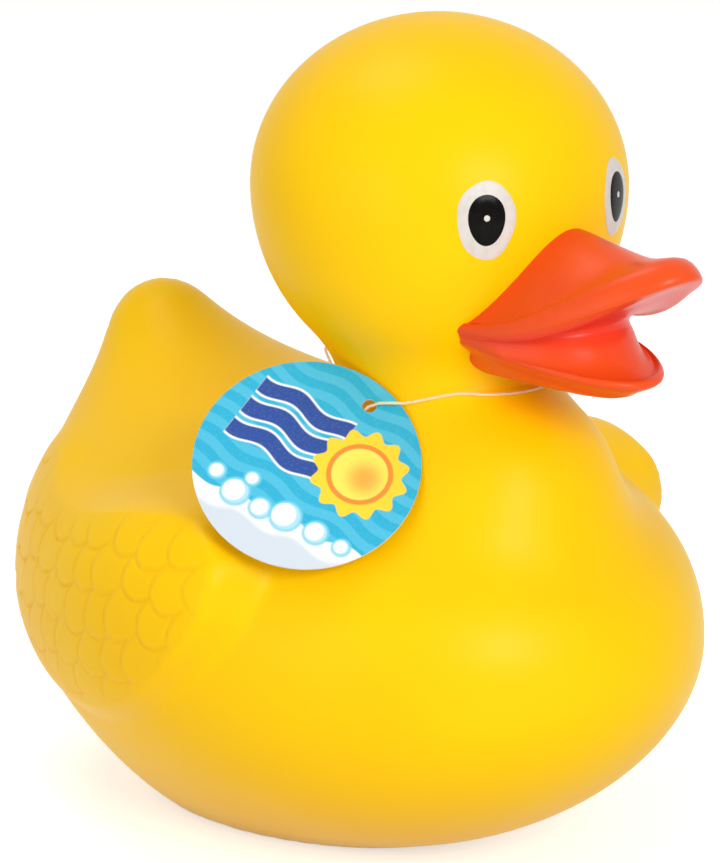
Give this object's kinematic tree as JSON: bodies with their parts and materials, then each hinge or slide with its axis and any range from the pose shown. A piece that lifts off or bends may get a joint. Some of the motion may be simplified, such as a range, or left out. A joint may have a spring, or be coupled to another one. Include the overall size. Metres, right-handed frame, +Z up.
{
  "type": "rubber duck",
  "caption": "Large hollow vinyl bath duck standing on a flat base, with raised wings, an upturned tail, an open painted bill, printed eyes, and a round card tag on an elastic neck loop.",
  "frame": {"origin": "on the flat base, in the duck's mirror plane, below the middle of the body", "axes": "+X towards the bill, +Y to the duck's left, +Z up"},
  "size_m": [0.2603, 0.1923, 0.2501],
  "materials": {
    "yellow_vinyl": "soft satin vinyl",
    "orange_paint": "satin paint",
    "white_print": "gloss ink",
    "black_print": "gloss ink",
    "squeaker_plastic": "moulded",
    "reed_plastic": "smooth",
    "tag_card": "coated print",
    "loop_elastic": "clear elastic"
  },
  "bodies": {
    "root": {"duck_shell": "yellow_vinyl", "bill_paint": "orange_paint", "eye_white_left": "white_print", "eye_pupil_left": "black_print", "eye_glint_left": "white_print", "eye_white_right": "white_print", "eye_pupil_right": "black_print", "eye_glint_right": "white_print", "squeaker_body": "squeaker_plastic", "squeaker_reed": "reed_plastic", "swing_tag": "tag_card", "tag_loop": "loop_elastic"}
  },
  "joints": []
}
